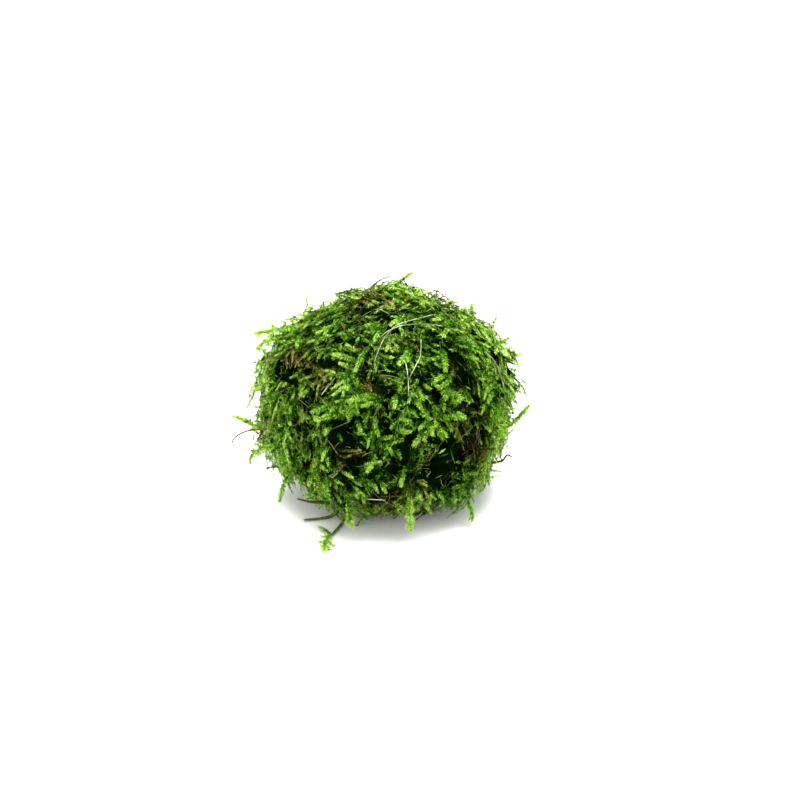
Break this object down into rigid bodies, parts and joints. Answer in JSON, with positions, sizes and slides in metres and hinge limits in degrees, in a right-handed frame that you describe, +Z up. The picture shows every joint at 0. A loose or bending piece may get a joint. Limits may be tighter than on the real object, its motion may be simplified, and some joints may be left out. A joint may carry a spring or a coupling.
{
  "type": "christmas moss ball",
  "caption": "Ball of feathery green moss bound with fine pale thread, pressed flat where it rests, with loose shoots and brown stems standing out of it.",
  "frame": {"origin": "the middle of the flat spot on the underside that the ball rests on", "axes": "+Z up through the ball, -Y towards the front that the picture shows, +X to the right of it"},
  "size_m": [0.0699, 0.0627, 0.0512],
  "materials": {
    "moss_green": "damp leafy moss",
    "stem_brown": "bare dead stem",
    "pale_thread": "fine pale line"
  },
  "bodies": {
    "root": {"moss_ball": "moss_green", "upper_left_shoot": "moss_green", "upper_left_side_shoot": "moss_green", "left_shoot": "moss_green", "low_left_shoot": "moss_green", "bottom_left_shoot": "moss_green", "trailing_left_shoot": "moss_green", "trailing_front_shoot": "moss_green", "front_left_drooping_shoot": "moss_green", "front_right_drooping_shoot": "moss_green", "lower_right_drooping_shoot": "moss_green", "right_shoot": "moss_green", "upper_right_shoot": "moss_green", "upper_right_side_shoot": "moss_green", "top_right_shoot": "moss_green", "crown_shoot": "moss_green", "back_left_shoot": "moss_green", "back_right_shoot": "moss_green", "back_trailing_shoot": "moss_green", "binding_thread": "pale_thread", "left_hooked_stem": "stem_brown", "bottom_left_stem": "stem_brown", "floor_stem": "stem_brown", "trailing_stem": "stem_brown", "right_hooked_stem": "stem_brown", "crown_stem": "stem_brown"}
  },
  "joints": []
}
